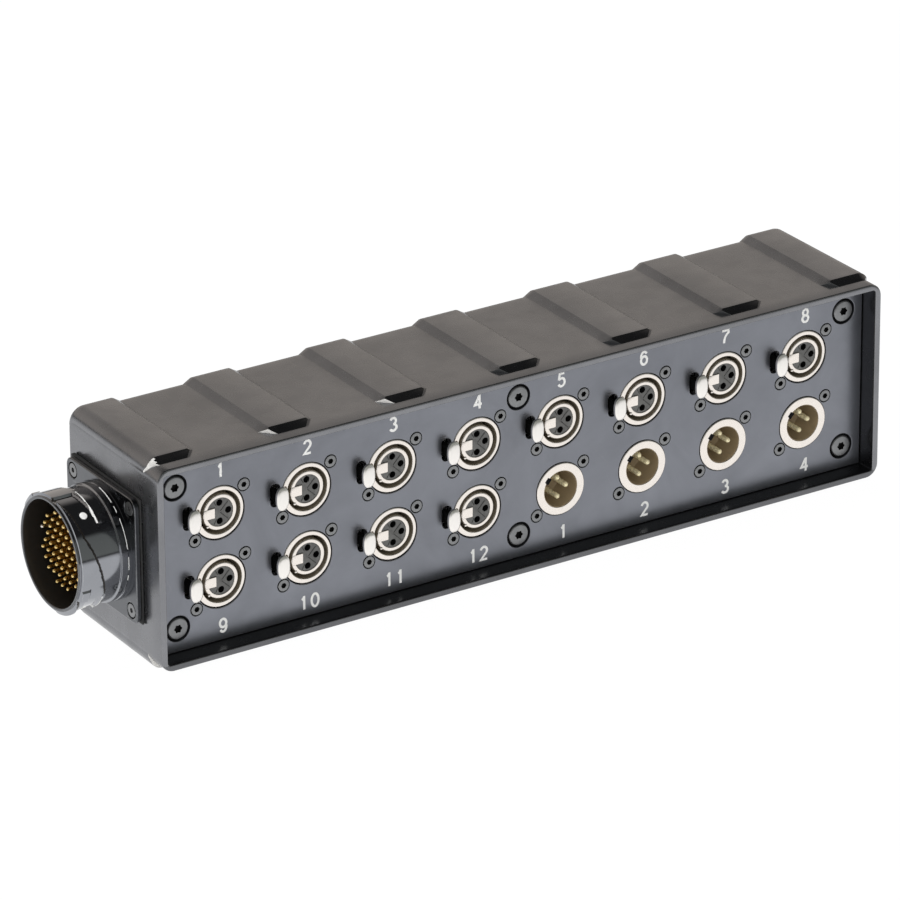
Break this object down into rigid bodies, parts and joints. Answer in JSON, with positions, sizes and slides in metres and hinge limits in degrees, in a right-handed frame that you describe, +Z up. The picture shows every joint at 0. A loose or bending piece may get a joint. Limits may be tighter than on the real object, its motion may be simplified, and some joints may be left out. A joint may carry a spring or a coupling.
{
  "type": "stage box snake",
  "caption": "Ribbed moulded stage box with a recessed panel of female and male three-pin connectors with push tabs, numbered, and a round multipin connector on one end.",
  "frame": {"origin": "on the surface that the box stands on, under the middle of the housing's length and depth", "axes": "+X along the box to the right as seen from the front, +Y from the front rim to the back, +Z up"},
  "size_m": [0.3954, 0.077, 0.0971],
  "materials": {
    "housing_rubber": "moulded, slightly worn",
    "panel_finish": "fine satin",
    "nickel": "polished nickel plate",
    "insert_grey": "moulded",
    "black_steel": "blackened steel",
    "multipin_black": "glossy black anodised",
    "contact_gold": "gold plated",
    "gasket_rubber": "matt",
    "cable_black": "matt"
  },
  "bodies": {
    "box": {"housing": "housing_rubber", "front_panel": "panel_finish", "panel_screw_1": "black_steel", "panel_screw_2": "black_steel", "panel_screw_3": "black_steel", "panel_screw_4": "black_steel", "panel_screw_5": "black_steel", "panel_screw_6": "black_steel", "female_shell_1": "nickel", "female_insert_1": "insert_grey", "female_shell_2": "nickel", "female_insert_2": "insert_grey", "female_shell_3": "nickel", "female_insert_3": "insert_grey", "female_shell_4": "nickel", "female_insert_4": "insert_grey", "female_shell_5": "nickel", "female_insert_5": "insert_grey", "female_shell_6": "nickel", "female_insert_6": "insert_grey", "female_shell_7": "nickel", "female_insert_7": "insert_grey", "female_shell_8": "nickel", "female_insert_8": "insert_grey", "female_shell_9": "nickel", "female_insert_9": "insert_grey", "female_shell_10": "nickel", "female_insert_10": "insert_grey", "female_shell_11": "nickel", "female_insert_11": "insert_grey", "female_shell_12": "nickel", "female_insert_12": "insert_grey", "male_shell_1": "nickel", "male_insert_1": "contact_gold", "male_shell_2": "nickel", "male_insert_2": "contact_gold", "male_shell_3": "nickel", "male_insert_3": "contact_gold", "male_shell_4": "nickel", "male_insert_4": "contact_gold", "multipin_shell": "multipin_black", "multipin_insert": "contact_gold", "multipin_gasket": "gasket_rubber", "flange_screw_1": "black_steel", "flange_screw_2": "black_steel", "flange_screw_3": "black_steel", "flange_screw_4": "black_steel", "wiring_loom": "cable_black"},
    "push_tab_1": {"latch_1": "nickel"},
    "push_tab_2": {"latch_2": "nickel"},
    "push_tab_3": {"latch_3": "nickel"},
    "push_tab_4": {"latch_4": "nickel"},
    "push_tab_5": {"latch_5": "nickel"},
    "push_tab_6": {"latch_6": "nickel"},
    "push_tab_7": {"latch_7": "nickel"},
    "push_tab_8": {"latch_8": "nickel"},
    "push_tab_9": {"latch_9": "nickel"},
    "push_tab_10": {"latch_10": "nickel"},
    "push_tab_11": {"latch_11": "nickel"},
    "push_tab_12": {"latch_12": "nickel"}
  },
  "joints": [
    {"name": "push_tab_1_press", "type": "slide", "parent": "box", "child": "push_tab_1", "axis": [0, 1, 0], "range_m": [0, 0.0025], "stiffness_N_per_m": 300},
    {"name": "push_tab_2_press", "type": "slide", "parent": "box", "child": "push_tab_2", "axis": [0, 1, 0], "range_m": [0, 0.0025], "stiffness_N_per_m": 300},
    {"name": "push_tab_3_press", "type": "slide", "parent": "box", "child": "push_tab_3", "axis": [0, 1, 0], "range_m": [0, 0.0025], "stiffness_N_per_m": 300},
    {"name": "push_tab_4_press", "type": "slide", "parent": "box", "child": "push_tab_4", "axis": [0, 1, 0], "range_m": [0, 0.0025], "stiffness_N_per_m": 300},
    {"name": "push_tab_5_press", "type": "slide", "parent": "box", "child": "push_tab_5", "axis": [0, 1, 0], "range_m": [0, 0.0025], "stiffness_N_per_m": 300},
    {"name": "push_tab_6_press", "type": "slide", "parent": "box", "child": "push_tab_6", "axis": [0, 1, 0], "range_m": [0, 0.0025], "stiffness_N_per_m": 300},
    {"name": "push_tab_7_press", "type": "slide", "parent": "box", "child": "push_tab_7", "axis": [0, 1, 0], "range_m": [0, 0.0025], "stiffness_N_per_m": 300},
    {"name": "push_tab_8_press", "type": "slide", "parent": "box", "child": "push_tab_8", "axis": [0, 1, 0], "range_m": [0, 0.0025], "stiffness_N_per_m": 300},
    {"name": "push_tab_9_press", "type": "slide", "parent": "box", "child": "push_tab_9", "axis": [0, 1, 0], "range_m": [0, 0.0025], "stiffness_N_per_m": 300},
    {"name": "push_tab_10_press", "type": "slide", "parent": "box", "child": "push_tab_10", "axis": [0, 1, 0], "range_m": [0, 0.0025], "stiffness_N_per_m": 300},
    {"name": "push_tab_11_press", "type": "slide", "parent": "box", "child": "push_tab_11", "axis": [0, 1, 0], "range_m": [0, 0.0025], "stiffness_N_per_m": 300},
    {"name": "push_tab_12_press", "type": "slide", "parent": "box", "child": "push_tab_12", "axis": [0, 1, 0], "range_m": [0, 0.0025], "stiffness_N_per_m": 300}
  ]
}
